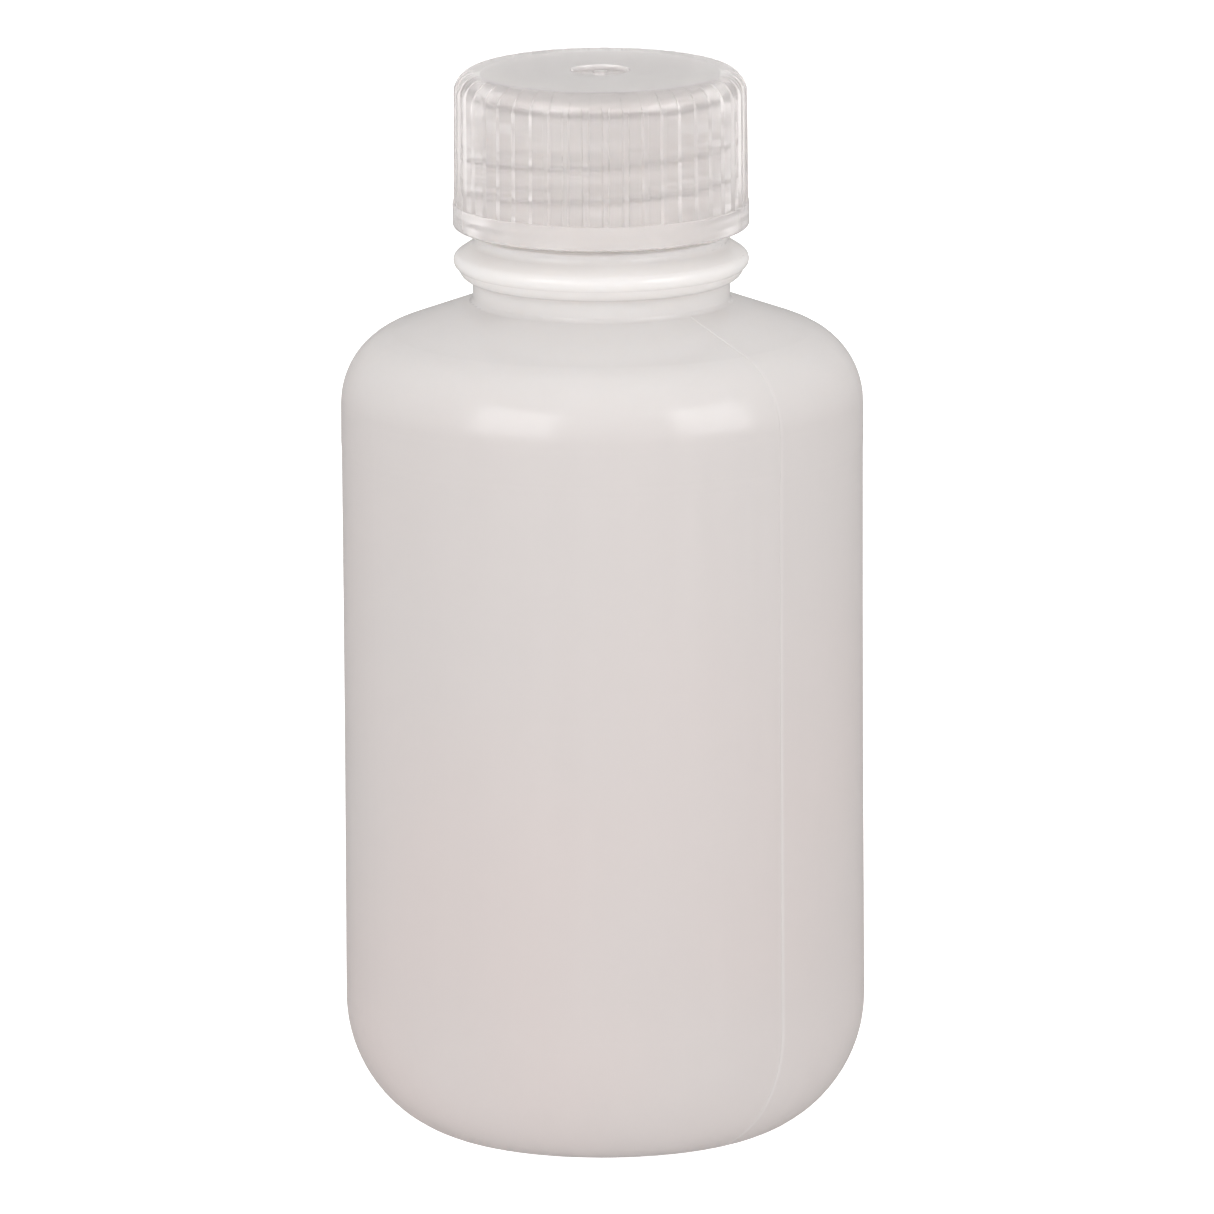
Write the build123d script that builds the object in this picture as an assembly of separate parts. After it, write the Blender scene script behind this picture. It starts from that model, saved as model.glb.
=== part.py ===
from build123d import *
import os
from math import atan2, cos, degrees, radians, sin, tan

# Narrow-mouth reagent bottle with a ribbed screw cap and a plug seal.
# Millimetres, +Z up. The origin is the middle of the base, on the plane the bottle stands on.
# Sections are drawn as (radius, height) and turned about the Z axis.

# ---- body of the bottle ----
crest_r = 24.39          # wall radius just under the shoulder
heel_in = 0.15           # how far inside it the wall is just above the rounded heel,
panel_mid_in = 0.15      # half way up the label panel, which draws in a little,
panel_top_in = 0.05      # and at the top of the label panel
heel_round_r = 12.95     # heel ellipse, across
heel_round_h = 13.3      # heel ellipse, up
shoulder_z = 69.46       # height where the wall starts to turn in
panel_gap = 4.4          # from the top of the label panel to the shoulder
panel_step_h = 0.9       # height over which the panel runs out to the crest
shoulder_round_r = 6.96  # shoulder ellipse, across
shoulder_round_h = 7.37  # shoulder ellipse, up
shoulder_slope = 20.31   # degrees that the cone above the shoulder falls outwards
wall = 1.2
floor_t = 1.5
standing_ring_w = 1.9    # flat ring that the bottle stands on, inside the heel
pushup_h = 1.5           # height of the hollow inside that ring

# ---- marks that the mould leaves ----
parting_azimuth = -47.0  # degrees from +X towards +Y of the plane in which the mould halves meet
parting_w = 0.30
parting_h = 0.04
parting_low_z = 1.0
pinch_margin = 2.1       # from the standing ring to the welded pinch-off across the hollow
pinch_w = 0.9
pinch_h = 0.45

# ---- neck, collar and finish ----
neck_out = 0.13          # how far the neck stands outside the thread
neck_round = 0.5
bore_r = 8.3
throat_round = 4.0       # round where the bore opens into the shoulder
lobe_r = 1.32            # lower lobe of the collar, a half round on the neck
lobe_above_neck = 3.3
bead_out = 1.9           # how far the collar's widest radius stands outside the thread
bead_round = 0.86
bead_above_neck = 3.81
collar_top_slope = 33.5  # degrees
ring_round = 0.6         # hollow round from the top of the collar into the plain ring above it
ring_h = 0.75            # from the top of the collar to the top of that ring, as wide as the thread
ring_edge = 0.2          # round on the ring's upper edge
root_r = 10.85           # radius between the threads
finish_h = 13.57         # from the top of the collar to the lip
lip_round = 0.4          # on both edges of the lip,
lip_share = 0.33         # up to this share of its width

# ---- thread ----
pitch = 3.175            # eight turns to the inch, right-handed
thread_h = 1.05          # how far the bottle's thread stands out
thread_base_w = 2.0
thread_crest_w = 0.8
thread_start_angle = -40.0
thread_start_gap = 2.05  # from the top of the collar to the middle of the thread's first end
thread_end_gap = 1.9     # from the middle of its last end to the lip
embed = 0.3              # how deep a ridge is rooted in its wall

# ---- cap ----
thread_clear = 0.2       # radial, between the bottle's thread and the cap's bore
cap_thread_h = 0.95
cap_thread_base_w = 1.5
cap_thread_crest_w = 0.6
cap_thread_lead = 2.0    # from the rim's lower face to the middle of the cap's thread
cap_thread_top_gap = 2.5 # from the middle of its other end to the lip
cap_thread_fade = 4.5    # how far off the axis the round that fades its ends is centred
cap_plate_t = 1.5
cap_wall = 1.35          # from the cap's bore to the ground between the ribs
cap_corner = 1.9
rim_gap = 1.43           # from the top of the collar to the rim
rim_h = 2.35
rim_out = 0.08           # how far the rim stands outside the ribs
rim_round = 0.4
lead_in_r = 0.45         # how much wider the mouth of the cap is than its bore
lead_in_h = 1.2
rib_count = 45
rib_h = 0.25
rib_base_w = 0.75
rib_crest_w = 0.35
rib_draft = 0.08         # how much further out the ribs stand at the rim than at the top
rib_corner = 2.1
gate_well_r = 2.8
gate_well_depth = 0.4
gate_well_round = 0.35
gate_nub_r = 0.65
gate_nub_h = 0.3

# ---- seal ----
seal_gap = 0.05          # left above the lip and under the cap's top
seal_t = 1.0
seal_in = 0.6            # how far the disc stays inside the outside of the lip
flange_t = 0.5
flange_out = 0.25        # how far its thin edge, which hangs in the cap, reaches past the lip
pocket_clear = 0.12      # radial, around the flange
pocket_depth = 0.95      # how far the narrow top of the cap reaches below the lip
catch_clear = 0.1        # around the ridge that keeps the seal in the cap
plug_clear = 0.05        # radial, between plug and bore
plug_wall = 1.0
plug_depth = 2.4
plug_taper = 0.4


def shoulder_end(inset):
    """Angle on the shoulder ellipse where the cone starts, and that point."""
    across, up = shoulder_round_r - inset, shoulder_round_h - inset
    angle = atan2(up, across * tan(radians(shoulder_slope)))
    return angle, (crest_r - shoulder_round_r + across * cos(angle), shoulder_z + up * sin(angle))


def cone_z(radius, inset):
    """Height of the shoulder's cone at a radius, inset from its outer face."""
    _, (end_r, end_z) = shoulder_end(inset)
    return end_z + (end_r - radius) * tan(radians(shoulder_slope))


# Sizes of the body that follow from those above.
heel_r = crest_r - heel_in
heel_centre_r = heel_r - heel_round_r
standing_ring_r = heel_centre_r - standing_ring_w
panel_top_z = shoulder_z - panel_gap
pinch_len = 2 * (standing_ring_r - pinch_margin)

# Radii of the neck and its collar, which follow the thread.
thread_r = root_r + thread_h
neck_r = thread_r + neck_out
bead_r = thread_r + bead_out - bead_round

# Heights of the neck, the seal and the cap.
neck_z = cone_z(neck_r, 0)
lobe_z = neck_z + lobe_above_neck
bead_z = neck_z + bead_above_neck
collar_tangent = radians(90 - collar_top_slope)
collar_edge_r = bead_r + bead_round * cos(collar_tangent)
collar_edge_z = bead_z + bead_round * sin(collar_tangent)
collar_top_z = collar_edge_z + (collar_edge_r - thread_r) * tan(radians(collar_top_slope))
ring_top_z = collar_top_z + ring_h
lip_z = collar_top_z + finish_h
seal_z = lip_z + seal_gap
flange_z = seal_z + seal_t - flange_t
plate_z = seal_z + seal_t + seal_gap
cap_top_z = plate_z + cap_plate_t
rim_z = collar_top_z + rim_gap
rim_top_z = rim_z + rim_h

# Radii of the cap and the seal, worked out from the finish that they close.
cap_bore_r = thread_r + thread_clear
cap_ground_r = cap_bore_r + cap_wall
rib_r = cap_ground_r + rib_h
rim_r = rib_r + rib_draft + rim_out
seal_r = root_r - seal_in
flange_r = root_r + flange_out
pocket_r = flange_r + pocket_clear
catch_r = seal_r + catch_clear
pocket_z = lip_z - pocket_depth


def turned(section):
    """The solid that a half section sweeps about the Z axis."""
    return revolve(Plane.XZ * section, axis=Axis.Z)


def rounded(section, point, radius):
    """The section with its corner nearest to a point rounded."""
    corner = section.vertices().sort_by_distance((*point, 0))[0]
    return fillet(corner, radius)


def body_section(inset, floor, top_r):
    """Half section of the body, inset from its outer faces, up the cone to a radius."""
    arch = TangentArc((0, floor + pushup_h), (standing_ring_r, floor), tangent=(1, 0))
    ring = Line((standing_ring_r, floor), (heel_centre_r, floor))
    heel = EllipticalCenterArc(
        (heel_centre_r, heel_round_h), heel_round_r - inset, heel_round_h - floor, -90, arc_size=90
    )
    panel = ThreePointArc(
        (heel_r - inset, heel_round_h),
        (crest_r - panel_mid_in - inset, (heel_round_h + panel_top_z) / 2),
        (crest_r - panel_top_in - inset, panel_top_z),
    )
    crest_z = panel_top_z + panel_step_h
    step = Line(panel @ 1, (crest_r - inset, crest_z))
    crest = Line((crest_r - inset, crest_z), (crest_r - inset, shoulder_z))
    angle, _ = shoulder_end(inset)
    shoulder = EllipticalCenterArc(
        (crest_r - shoulder_round_r, shoulder_z),
        shoulder_round_r - inset,
        shoulder_round_h - inset,
        arc_size=degrees(angle),
    )
    top_z = cone_z(top_r, inset)
    cone = Polyline(shoulder @ 1, (top_r, top_z), (0, top_z), (0, floor + pushup_h))
    return make_face([arch, ring, heel, panel, step, crest, shoulder, cone])


def band(inner_r, outer_r, low_z, high_z):
    """Rectangle between two radii and two heights."""
    return Pos((inner_r + outer_r) / 2, (low_z + high_z) / 2) * Rectangle(
        outer_r - inner_r, high_z - low_z
    )


def neck_section():
    """Neck, two-lobed collar, the plain ring on it and the finish, solid to the axis."""
    collar_top = Polygon(
        (0, bead_z),
        (bead_r, bead_z),
        (collar_edge_r, collar_edge_z),
        (thread_r, collar_top_z),
        (thread_r, ring_top_z),
        (0, ring_top_z),
        align=None,
    )
    collar_top = rounded(collar_top, (thread_r, collar_top_z), ring_round)
    collar_top = rounded(collar_top, (thread_r, ring_top_z), ring_edge)
    neck = band(0, neck_r, shoulder_z, bead_z) + band(0, root_r, bead_z, lip_z)
    neck += Pos(neck_r, lobe_z) * Circle(lobe_r) + Pos(bead_r, bead_z) * Circle(bead_round)
    return neck + collar_top


def cavity_section():
    """Everything hollow inside the bottle, out through the mouth."""
    throat = (bore_r, cone_z(bore_r, wall))
    hollow = body_section(wall, floor_t, bore_r) + band(0, bore_r, shoulder_z, lip_z + 1)
    return rounded(hollow, throat, throat_round)


def helical_ridge(wall_r, crest_r, base_w, crest_w, height):
    """Right-handed ridge that starts on the +X axis at height 0, rooted in a wall."""
    outwards = 1 if crest_r > wall_r else -1
    root = wall_r - outwards * embed
    slope = (base_w - crest_w) / 2 / abs(crest_r - wall_r)
    half_root, half_crest = base_w / 2 + slope * embed, crest_w / 2
    section = Polygon(
        (root, -half_root), (crest_r, -half_crest), (crest_r, half_crest), (root, half_root),
        align=None,
    )
    return sweep(Plane.XZ * section, path=Helix(pitch, height, wall_r), is_frenet=True)


def bottle_thread():
    """The bottle's thread, with both ends cut back to the root by a flat."""
    height = finish_h - thread_start_gap - thread_end_gap
    ridge = helical_ridge(root_r, thread_r, thread_base_w, thread_crest_w, height)
    flat = Pos(root_r, 0, 0) * Box(root_r, root_r, pitch, align=(Align.MIN, Align.CENTER, Align.CENTER))
    for end_z in (0, height):
        ridge -= Rot(0, 0, 360 * end_z / pitch) * Pos(0, 0, end_z) * flat
    return Pos(0, 0, collar_top_z + thread_start_gap) * Rot(0, 0, thread_start_angle) * ridge


def cap_thread():
    """The cap's thread, half a pitch under the bottle's, with both ends faded into the wall."""
    start_z = rim_z + cap_thread_lead
    height = lip_z - cap_thread_top_gap - start_z
    crest = cap_bore_r - cap_thread_h
    ridge = helical_ridge(cap_bore_r, crest, cap_thread_base_w, cap_thread_crest_w, height)
    fade = Pos(cap_thread_fade, 0, 0) * Cylinder(cap_bore_r - cap_thread_fade, pitch)
    for end_z in (0, height):
        ridge -= Rot(0, 0, 360 * end_z / pitch) * Pos(0, 0, end_z) * fade
    climb = start_z - (collar_top_z + thread_start_gap) + pitch / 2
    return Pos(0, 0, start_z) * Rot(0, 0, thread_start_angle + 360 * climb / pitch) * ridge


def parting_line():
    """Fine raised line up both sides of the body, where the mould halves meet."""
    strip = body_section(-parting_h, 0, neck_r) - body_section(wall / 2, floor_t / 2, neck_r)
    strip &= band(neck_r, crest_r + 1, parting_low_z, cone_z(neck_r, -parting_h))
    side = extrude(Plane.XZ * strip, parting_w / 2, both=True)
    return [Rot(0, 0, parting_azimuth + half_turn) * side for half_turn in (0, 180)]


def pinch_off():
    """Welded line that follows the hollow under the base."""
    roof = turned(body_section(0, 0, neck_r))
    layer = Pos(0, 0, -pinch_h) * roof - Pos(0, 0, embed) * roof
    bar = Pos(0, 0, pushup_h) * Box(pinch_len, pinch_w, 2 * pushup_h)
    return Rot(0, 0, parting_azimuth) * (bar & layer)


def bottle():
    """Blown bottle with its collar, thread and mould marks."""
    shell = body_section(0, 0, neck_r) + neck_section()
    shell = rounded(shell, (neck_r, neck_z), neck_round) - cavity_section()
    edge = min(lip_round, (root_r - bore_r) * lip_share)
    shell = rounded(rounded(shell, (root_r, lip_z), edge), (bore_r, lip_z), edge)
    return turned(shell) + bottle_thread() + parting_line() + pinch_off()


def cap_outside():
    """Half section of the cap without its ribs, solid to the axis."""
    outer = rounded(band(0, cap_ground_r, rim_z, cap_top_z), (cap_ground_r, cap_top_z), cap_corner)
    rim = band(0, rim_r, rim_z, rim_top_z)
    rim = rounded(rim, (rim_r, rim_z), rim_round)
    return outer + rounded(rim, (rim_r, rim_top_z), rim_out)


def cap_inside():
    """Half section of the hollow in the cap: mouth, bore, and the pocket for the seal."""
    mouth_r = cap_bore_r + lead_in_r
    hollow = Polygon(
        (0, rim_z - 1),
        (mouth_r, rim_z - 1),
        (mouth_r, rim_z + lead_in_h - lead_in_r),
        (cap_bore_r, rim_z + lead_in_h),
        (cap_bore_r, pocket_z - (cap_bore_r - pocket_r)),
        (pocket_r, pocket_z),
        (pocket_r, plate_z),
        (0, plate_z),
        align=None,
    )
    catch_low, catch_high = lip_z + catch_clear, flange_z - catch_clear / 2
    return hollow - band(catch_r, pocket_r, catch_low, catch_high)


def ribs():
    """Grip ribs, from the rim up into the rounded corner where they run out."""
    envelope = Polygon(
        (0, rim_z + rim_round), (rib_r + rib_draft, rim_z + rim_round),
        (rib_r, cap_top_z), (0, cap_top_z), align=None,
    )
    envelope = turned(rounded(envelope, (rib_r, cap_top_z), rib_corner))
    inner = cap_ground_r - cap_corner
    outer = rib_r + rib_draft
    half_base, half_crest = rib_base_w / 2, rib_crest_w / 2
    blank = Polygon(
        (inner, -half_base), (cap_ground_r, -half_base), (outer, -half_crest),
        (outer, half_crest), (cap_ground_r, half_base), (inner, half_base),
        align=None,
    )
    rib = Pos(0, 0, rim_z) * extrude(blank, cap_top_z - rim_z) & envelope
    return [place * rib for place in PolarLocations(0, rib_count)]


def gate():
    """Well in the middle of the top, with the nub left by the gate inside it."""
    well = band(0, gate_well_r, cap_top_z - gate_well_depth, cap_top_z + 1)
    well = rounded(well, (gate_well_r, cap_top_z - gate_well_depth), gate_well_round)
    nub = band(0, gate_nub_r, cap_top_z - gate_well_depth, cap_top_z - gate_well_depth + gate_nub_h)
    return turned(well - nub)


def cap():
    """Ribbed screw cap."""
    return turned(cap_outside()) + ribs() - turned(cap_inside()) - gate() + cap_thread()


def seal_insert():
    """Disc that bears on the lip, with a plug that enters the bore and an edge held by the cap."""
    plug_r = bore_r - plug_clear
    tip_z = seal_z - plug_depth
    disc = band(0, seal_r, seal_z, seal_z + seal_t) + band(0, flange_r, flange_z, seal_z + seal_t)
    plug = Polygon(
        (plug_r - plug_wall, tip_z),
        (plug_r - plug_taper, tip_z),
        (plug_r, tip_z + 2 * plug_taper),
        (plug_r, seal_z + seal_t / 2),
        (plug_r - plug_wall, seal_z + seal_t / 2),
        align=None,
    )
    return turned(disc + plug)


os.makedirs("parts", exist_ok=True)
export_step(bottle(), "parts/bottle.step")
export_step(cap(), "parts/cap.step")
export_step(seal_insert(), "parts/seal_insert.step")
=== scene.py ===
from math import cos, radians, sin

import bpy
from mathutils import Matrix, Vector


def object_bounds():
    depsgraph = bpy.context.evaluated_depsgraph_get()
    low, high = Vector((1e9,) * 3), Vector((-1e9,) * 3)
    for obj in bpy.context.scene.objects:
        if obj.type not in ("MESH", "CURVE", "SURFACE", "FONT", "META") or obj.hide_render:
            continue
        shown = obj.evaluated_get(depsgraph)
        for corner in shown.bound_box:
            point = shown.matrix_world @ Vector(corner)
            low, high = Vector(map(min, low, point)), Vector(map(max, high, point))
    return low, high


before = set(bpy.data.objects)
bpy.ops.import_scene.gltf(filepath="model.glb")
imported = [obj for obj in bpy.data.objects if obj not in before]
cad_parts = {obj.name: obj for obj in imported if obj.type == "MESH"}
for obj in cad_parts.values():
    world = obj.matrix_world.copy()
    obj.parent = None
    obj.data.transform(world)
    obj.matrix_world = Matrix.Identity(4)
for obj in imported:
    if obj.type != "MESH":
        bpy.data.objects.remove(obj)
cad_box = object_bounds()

# Looks of a small plastic reagent bottle: a blown, milky polyethylene bottle under a clearer,
# ribbed polypropylene cap with a polyethylene plug seal. Metres, +Z up, front towards -Y.

MM = 0.001
lowest, highest = cad_box
height = highest.z - lowest.z

# ---- camera ----
camera_distance = 4.0
camera_elevation = radians(11.0)
camera_roll = radians(-0.33)
sensor_width = 36              # in the camera's own millimetres
clip_start, clip_end = 0.1, 20
field_width = 113.45 * MM      # what the picture spans at the bottle's axis
aim = Vector((0.35 * MM, 0, 49.95 * MM))

# ---- lights: angles in degrees, distance and size in metres, power in watts ----
softboxes = {
    "key_left": dict(azimuth=-41, elevation=22, distance=0.8, width=0.56, tall=0.50, power=3.0),
    "key_right": dict(azimuth=52, elevation=22, distance=0.8, width=0.50, tall=0.50, power=2.7),
    "overhead": dict(azimuth=0, elevation=80, distance=0.9, width=0.9, tall=0.9, power=0.4),
}
lit_share = 0.6                # how far up the bottle the lights point

# ---- world ----
world_colour = (1.0, 0.99, 0.985, 1)
dim_below, bright_above = -0.50, 0.25      # as sines of the elevation
dim_strength, bright_strength = 0.30, 0.88

# ---- floor ----
floor_radius = 4.0
floor_sides = 96
floor_colour = (0.55, 0.55, 0.55, 1)
floor_roughness = 0.9
floor_glow = 1.0               # enough to show as plain white

# ---- where the bottle's plastic changes, and where light is painted on it ----
body_cooler_painted_lighter_heights = (20 * MM, 68 * MM)            # heights: a cooler white towards the shoulder, painted a little lighter there as light from above,
neck_thick_and_painted_light_heights = (70 * MM, 77 * MM)         # a thicker wall at the neck, painted whiter as light passing down through it,
finish_painted_light_heights = (84.5 * MM, 87 * MM)     # and painted whiter still at the threaded finish, as light reaching it through the cap
parting_azimuth = radians(-47.0)           # of the plane in which the mould halves met
parting_highlight_fades = (0.12 * MM, 0.35 * MM)        # a painted highlight, fading to each side of that plane

# ---- node facts ----
noise_span = (0.3, 0.7)                    # what Blender's noise mostly keeps between
MIX_FACTOR = 0                             # sockets of the Mix node, whose names repeat
MIX_NUMBERS, MIX_NUMBER_OUT = (2, 3), 0
MIX_COLOURS, MIX_COLOUR_OUT = (6, 7), 2


def make_camera():
    data = bpy.data.cameras.new("camera")
    data.sensor_width = sensor_width
    data.lens = data.sensor_width * camera_distance / field_width
    data.clip_start, data.clip_end = clip_start, clip_end
    camera = bpy.data.objects.new("camera", data)
    back = Vector((0, -cos(camera_elevation), sin(camera_elevation)))
    turn = (-back).to_track_quat("-Z", "Y").to_matrix() @ Matrix.Rotation(camera_roll, 3, "Z")
    camera.matrix_world = Matrix.Translation(aim + back * camera_distance) @ turn.to_4x4()
    bpy.context.scene.collection.objects.link(camera)
    bpy.context.scene.camera = camera


def softbox(name, azimuth, elevation, distance, width, tall, power):
    """Area light at an azimuth (0 in front, growing to the right), facing the bottle."""
    data = bpy.data.lights.new(name, "AREA")
    data.shape = "RECTANGLE"
    data.size, data.size_y = width, tall
    data.energy = power
    light = bpy.data.objects.new(name, data)
    a, e = radians(azimuth), radians(elevation)
    way = Vector((sin(a) * cos(e), -cos(a) * cos(e), sin(e)))
    centre = Vector((0, 0, height * lit_share))
    turn = (-way).to_track_quat("-Z", "Y").to_matrix().to_4x4()
    light.matrix_world = Matrix.Translation(centre + way * distance) @ turn
    bpy.context.scene.collection.objects.link(light)


def make_world():
    """Even light from above that dims from just over the horizon to well below it."""
    world = bpy.data.worlds.new("studio")
    bpy.context.scene.world = world
    world.use_nodes = True
    tree = world.node_tree
    place = tree.nodes.new("ShaderNodeTexCoord")
    split = tree.nodes.new("ShaderNodeSeparateXYZ")
    ramp = tree.nodes.new("ShaderNodeMapRange")
    ramp.inputs["From Min"].default_value = dim_below
    ramp.inputs["From Max"].default_value = bright_above
    ramp.inputs["To Min"].default_value = dim_strength
    ramp.inputs["To Max"].default_value = bright_strength
    tree.links.new(place.outputs["Generated"], split.inputs[0])
    tree.links.new(split.outputs["Z"], ramp.inputs["Value"])
    back = tree.nodes["Background"]
    back.inputs["Color"].default_value = world_colour
    tree.links.new(ramp.outputs[0], back.inputs["Strength"])


def make_floor():
    """A plain floor that the plastic doesn't mirror."""
    bpy.ops.mesh.primitive_circle_add(vertices=floor_sides, radius=floor_radius, fill_type="NGON")
    floor = bpy.context.object
    floor.name = "floor"
    material = bpy.data.materials.new("pale_floor")
    material.use_nodes = True
    shader = material.node_tree.nodes["Principled BSDF"]
    shader.inputs["Base Color"].default_value = floor_colour
    shader.inputs["Roughness"].default_value = floor_roughness
    shader.inputs["Specular IOR Level"].default_value = 0.0
    shader.inputs["Emission Color"].default_value = (1, 1, 1, 1)
    shader.inputs["Emission Strength"].default_value = floor_glow
    floor.data.materials.append(material)
    floor.visible_glossy = False


class Surface:
    """A material's node tree, with the few moves that all three plastics need."""

    def __init__(self, name):
        self.material = bpy.data.materials.new(name)
        self.material.use_nodes = True
        self.tree = self.material.node_tree
        self.shader = self.tree.nodes["Principled BSDF"]
        self.out = self.tree.nodes["Material Output"]
        self.place = self.new("ShaderNodeTexCoord").outputs["Object"]

    def new(self, kind, **settings):
        node = self.tree.nodes.new(kind)
        for name, value in settings.items():
            setattr(node, name, value)
        return node

    def link(self, out, into):
        self.tree.links.new(out, into)

    def noise(self, scale, detail=2.0, stretch=(1, 1, 1)):
        """Noise with so many features to the metre, drawn out along an axis by stretch."""
        mapping = self.new("ShaderNodeMapping")
        mapping.inputs["Scale"].default_value = [1 / s for s in stretch]
        self.link(self.place, mapping.inputs["Vector"])
        noise = self.new("ShaderNodeTexNoise")
        noise.inputs["Scale"].default_value = scale
        noise.inputs["Detail"].default_value = detail
        self.link(mapping.outputs[0], noise.inputs["Vector"])
        return noise.outputs["Fac"]

    def between(self, value, first, last, span=noise_span):
        """A number that runs from first to last as value runs over span."""
        ramp = self.new("ShaderNodeMapRange")
        ramp.inputs["From Min"].default_value, ramp.inputs["From Max"].default_value = span
        ramp.inputs["To Min"].default_value = first
        ramp.inputs["To Max"].default_value = last
        self.link(value, ramp.inputs["Value"])
        return ramp.outputs[0]

    def tint(self, value, first, second):
        """A colour that runs from first to second with value."""
        mix = self.new("ShaderNodeMix", data_type="RGBA")
        for colour, socket in zip((first, second), MIX_COLOURS):
            if isinstance(colour, tuple):
                mix.inputs[socket].default_value = (*colour, 1)
            else:
                self.link(colour, mix.inputs[socket])
        self.link(value, mix.inputs[MIX_FACTOR])
        return mix.outputs[MIX_COLOUR_OUT]

    def blend(self, value, first, second):
        """A number that runs from first, a socket, to second with value."""
        mix = self.new("ShaderNodeMix", data_type="FLOAT")
        start, end = MIX_NUMBERS
        self.link(value, mix.inputs[MIX_FACTOR])
        self.link(first, mix.inputs[start])
        mix.inputs[end].default_value = second
        return mix.outputs[MIX_NUMBER_OUT]

    def height(self):
        split = self.new("ShaderNodeSeparateXYZ")
        self.link(self.place, split.inputs[0])
        return split.outputs["Z"]

    def parting_highlight_line(self):
        """1 along the line where the mould halves met, on both sides of the bottle, for a painted
        highlight.
        """
        turn = self.new("ShaderNodeVectorRotate", rotation_type="Z_AXIS")
        turn.inputs["Angle"].default_value = -parting_azimuth
        self.link(self.place, turn.inputs["Vector"])
        split = self.new("ShaderNodeSeparateXYZ")
        self.link(turn.outputs[0], split.inputs[0])
        away = self.new("ShaderNodeMath", operation="ABSOLUTE")
        self.link(split.outputs["Y"], away.inputs[0])
        return self.between(away.outputs[0], 1, 0, parting_highlight_fades)

    def bump(self, layers):
        """Stacks bumps of (value, depth in metres) and returns the normal."""
        normal = None
        for value, depth in layers:
            bump = self.new("ShaderNodeBump")
            bump.inputs["Distance"].default_value = depth
            self.link(value, bump.inputs["Height"])
            if normal:
                self.link(normal, bump.inputs["Normal"])
            normal = bump.outputs[0]
        return normal

    def glow_through(self, colour, share, normal):
        """Lets a share of the light through the wall, scattered. Share is a number or a socket."""
        glow = self.new("ShaderNodeBsdfTranslucent")
        self.link(colour, glow.inputs["Color"])
        self.link(normal, glow.inputs["Normal"])
        mix = self.new("ShaderNodeMixShader")
        if isinstance(share, float):
            mix.inputs[0].default_value = share
        else:
            self.link(share, mix.inputs[0])
        self.link(self.shader.outputs[0], mix.inputs[1])
        self.link(glow.outputs[0], mix.inputs[2])
        self.link(mix.outputs[0], self.out.inputs["Surface"])


def blown_polyethylene():
    """Milky wall that light gets through, drawn upwards in fine streaks by the blowing."""
    warm_white, grey_white = (0.617, 0.567, 0.554), (0.606, 0.571, 0.560)
    # the upper white is cooler and painted a little lighter, as light from above; the weld white is a
    # painted highlight on the parting line
    upper_cooler_painted_lighter_white, parting_highlight_white = (0.616, 0.590, 0.580), (0.655, 0.63, 0.62)
    # the neck and finish whites are painted light: brightness standing in for light through the neck
    # and into the cap
    neck_painted_light_white, finish_painted_light_white = (0.80, 0.785, 0.775), (0.89, 0.875, 0.865)
    warm_glow, grey_glow, neck_glow = (0.73, 0.680, 0.665), (0.71, 0.685, 0.675), (0.84, 0.82, 0.81)
    wall_roughness, neck_roughness = (0.19, 0.25), 0.09
    grain_depth, flow_depth = 0.002 * MM, 0.0007 * MM
    glow_share = (0.42, 0.44)
    s = Surface("blown_polyethylene")
    patches = s.between(s.noise(38, 1.0), 0, 1)
    upper_mask_painted_lighter = s.between(s.height(), 0, 1, body_cooler_painted_lighter_heights)
    thick_neck_and_painted_light = s.between(s.height(), 0, 1, neck_thick_and_painted_light_heights)
    finish_mask_painted_light = s.between(s.height(), 0, 1, finish_painted_light_heights)
    colour = s.tint(patches, warm_white, grey_white)
    # cooler, and painted lighter towards the shoulder as light from above
    colour = s.tint(upper_mask_painted_lighter, colour, upper_cooler_painted_lighter_white)
    # painted highlight along the parting line, as the lights catch its ridge
    colour = s.tint(s.parting_highlight_line(), colour, parting_highlight_white)
    # painted light: a whiter neck, as light passing down through it
    colour = s.tint(thick_neck_and_painted_light, colour, neck_painted_light_white)
    # painted light: whiter still at the threaded finish, standing in for light reaching it through the
    # cap
    colour = s.tint(finish_mask_painted_light, colour, finish_painted_light_white)
    s.link(colour, s.shader.inputs["Base Color"])
    flow = s.noise(900, 2.0, stretch=(1, 1, 40))
    grain = s.noise(5200, 2.0)
    gloss = s.between(s.noise(260), *wall_roughness)
    s.link(s.blend(thick_neck_and_painted_light, gloss, neck_roughness), s.shader.inputs["Roughness"])
    normal = s.bump([(grain, grain_depth), (flow, flow_depth)])
    s.link(normal, s.shader.inputs["Normal"])
    s.shader.inputs["IOR"].default_value = 1.53
    s.link(s.between(thick_neck_and_painted_light, 0, 0.9, (0, 1)), s.shader.inputs["Subsurface Weight"])
    s.shader.inputs["Subsurface Radius"].default_value = (1.0, 0.95, 0.9)
    s.shader.inputs["Subsurface Scale"].default_value = 2.5 * MM
    through = s.tint(patches, warm_glow, grey_glow)
    through = s.tint(thick_neck_and_painted_light, through, neck_glow)
    s.glow_through(through, s.between(flow, *glow_share), normal)
    return s.material


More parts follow.
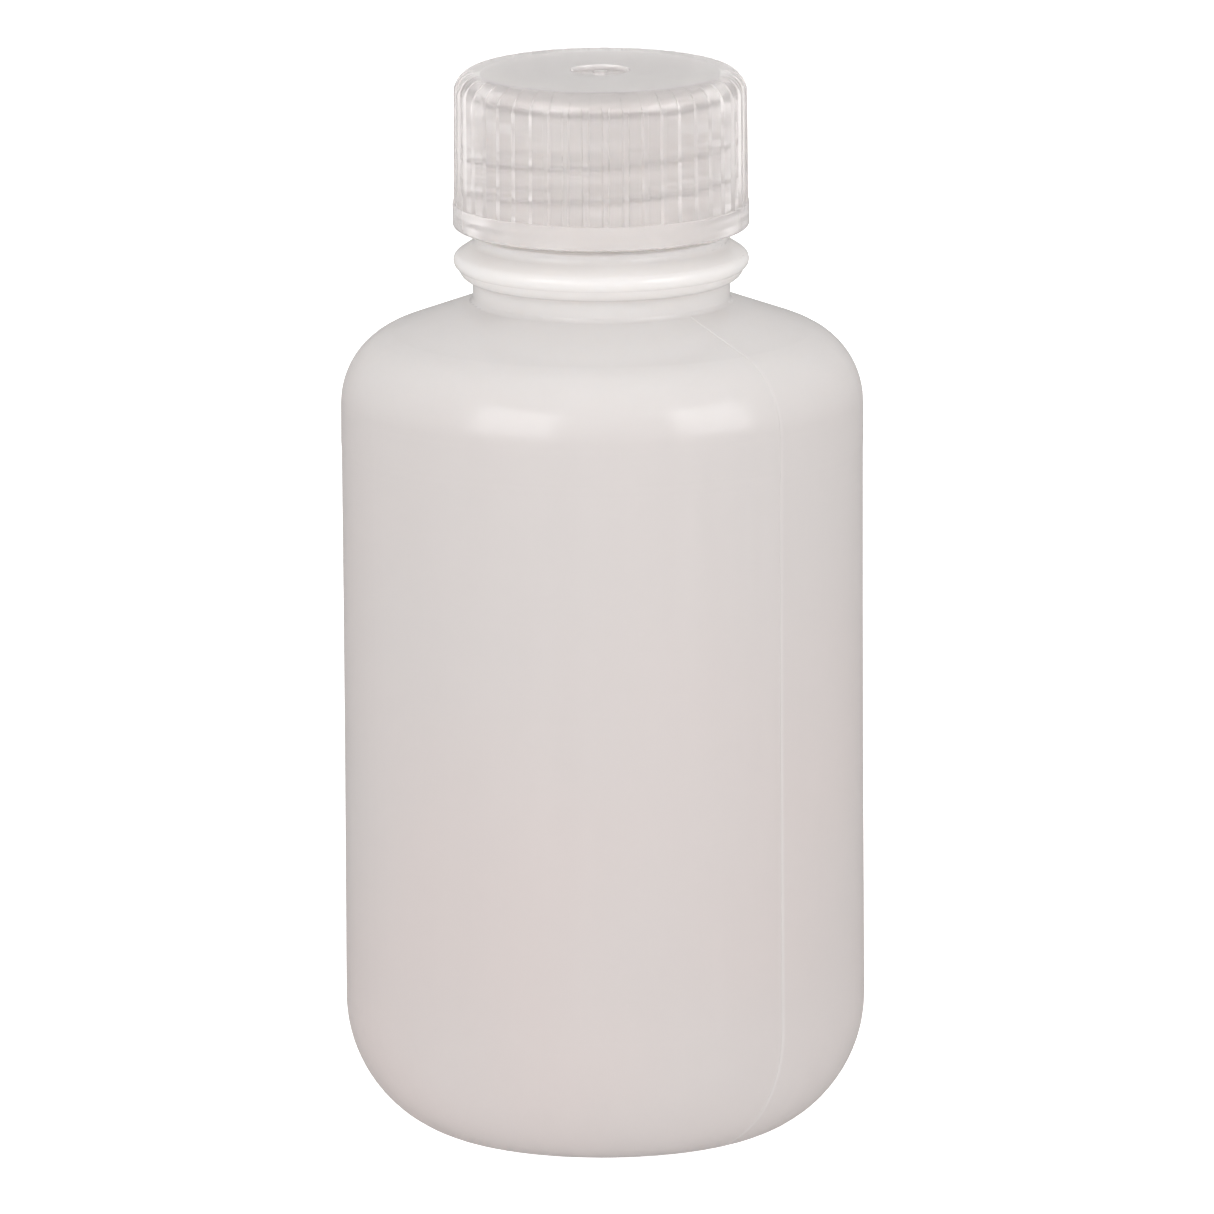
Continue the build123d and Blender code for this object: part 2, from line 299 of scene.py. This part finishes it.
def moulded_polypropylene():
    """Hazy, nearly clear cap with a moulded gloss."""
    warm_clear, pale_clear = (0.94, 0.91, 0.90), (0.95, 0.925, 0.915)
    warm_haze, pale_haze = (0.86, 0.815, 0.80), (0.88, 0.845, 0.83)
    grain_depth, ripple_depth = 0.001 * MM, 0.006 * MM
    s = Surface("moulded_polypropylene")
    clouds = s.between(s.noise(160, 2.0), 0, 1)
    s.link(s.tint(clouds, warm_clear, pale_clear), s.shader.inputs["Base Color"])
    s.link(s.between(s.noise(420), 0.17, 0.23), s.shader.inputs["Roughness"])
    s.shader.inputs["IOR"].default_value = 1.38     # under the plastic's own 1.49, chosen for the look
    s.shader.inputs["Transmission Weight"].default_value = 0.80
    s.shader.inputs["Coat Weight"].default_value = 0.5
    s.shader.inputs["Coat Roughness"].default_value = 0.08
    grain, ripple = s.noise(2600), s.noise(320, 1.0)
    normal = s.bump([(grain, grain_depth), (ripple, ripple_depth)])
    s.link(normal, s.shader.inputs["Normal"])
    s.glow_through(s.tint(clouds, warm_haze, pale_haze), 0.13, normal)
    return s.material


def seal_polyethylene():
    """Soft white plastic of the plug seal."""
    warm_white, pale_white = (0.93, 0.90, 0.89), (0.95, 0.93, 0.92)
    warm_glow, pale_glow = (0.92, 0.89, 0.88), (0.94, 0.92, 0.91)
    s = Surface("seal_polyethylene")
    clouds = s.between(s.noise(220), 0, 1)
    s.link(s.tint(clouds, warm_white, pale_white), s.shader.inputs["Base Color"])
    s.link(s.between(s.noise(600), 0.20, 0.26), s.shader.inputs["Roughness"])
    s.shader.inputs["IOR"].default_value = 1.51
    s.shader.inputs["Transmission Weight"].default_value = 0.3
    normal = s.bump([(s.noise(2400), 0.004 * MM)])
    s.link(normal, s.shader.inputs["Normal"])
    s.glow_through(s.tint(clouds, warm_glow, pale_glow), 0.2, normal)
    return s.material


def dress(node, material):
    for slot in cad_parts[node].material_slots:
        slot.material = material


make_camera()
make_world()
make_floor()
for name, settings in softboxes.items():
    softbox(name, **settings)

dress("bottle", blown_polyethylene())
dress("cap", moulded_polypropylene())
dress("seal_insert", seal_polyethylene())

scene = bpy.context.scene
scene.view_settings.view_transform = "Standard"
scene.cycles.sample_clamp_indirect = 6.0       # keeps stray bright paths off the walls
scene.cycles.blur_glossy = 1.0
scene.cycles.caustics_reflective = False
